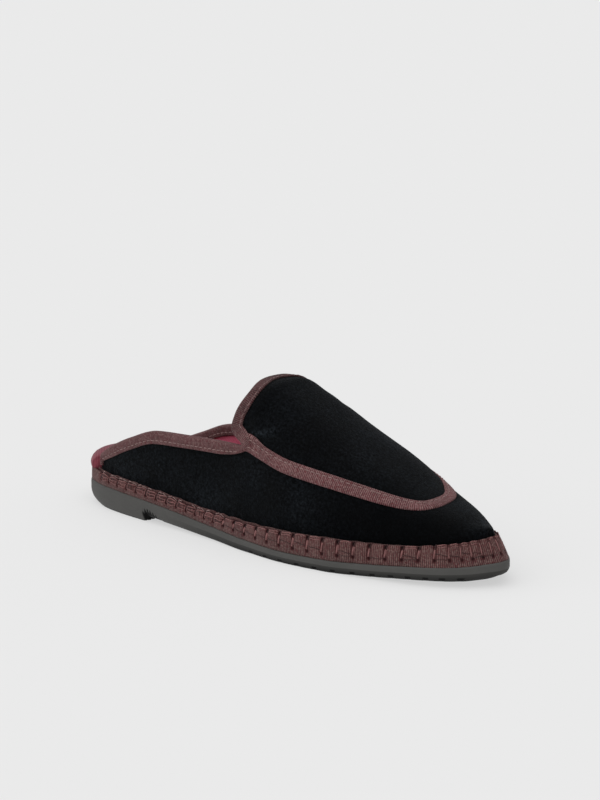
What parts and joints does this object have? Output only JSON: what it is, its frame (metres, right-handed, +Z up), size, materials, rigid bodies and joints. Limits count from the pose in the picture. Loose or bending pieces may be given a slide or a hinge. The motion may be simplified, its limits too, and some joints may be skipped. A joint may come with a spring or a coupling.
{
  "type": "slipper loafer",
  "caption": "Backless velvet slipper loafer with ribbon-bound edges, a U-shaped apron ribbon, a whip-stitched ribbon band and a thin rubber outsole with a low heel.",
  "frame": {"origin": "on the floor, under the middle of the shoe's box", "axes": "+X from heel to toe, +Z up, +Y towards the big-toe side of a right foot"},
  "size_m": [0.2586, 0.0816, 0.0772],
  "materials": {
    "rubber": "matte moulded rubber",
    "band_ribbon": "grosgrain ribbon wrapped round the midsole and whip-stitched",
    "lining_cloth": "wine-red lining cloth",
    "velvet": "black velvet with a short nap",
    "binding_ribbon": "brown-burgundy grosgrain ribbon"
  },
  "bodies": {
    "root": {"outsole": "rubber", "midsole": "band_ribbon", "insole": "lining_cloth", "upper": "velvet", "collar_binding_outer": "binding_ribbon", "collar_binding_inner": "binding_ribbon", "tongue_binding": "binding_ribbon", "apron_ribbon": "binding_ribbon"}
  },
  "joints": []
}
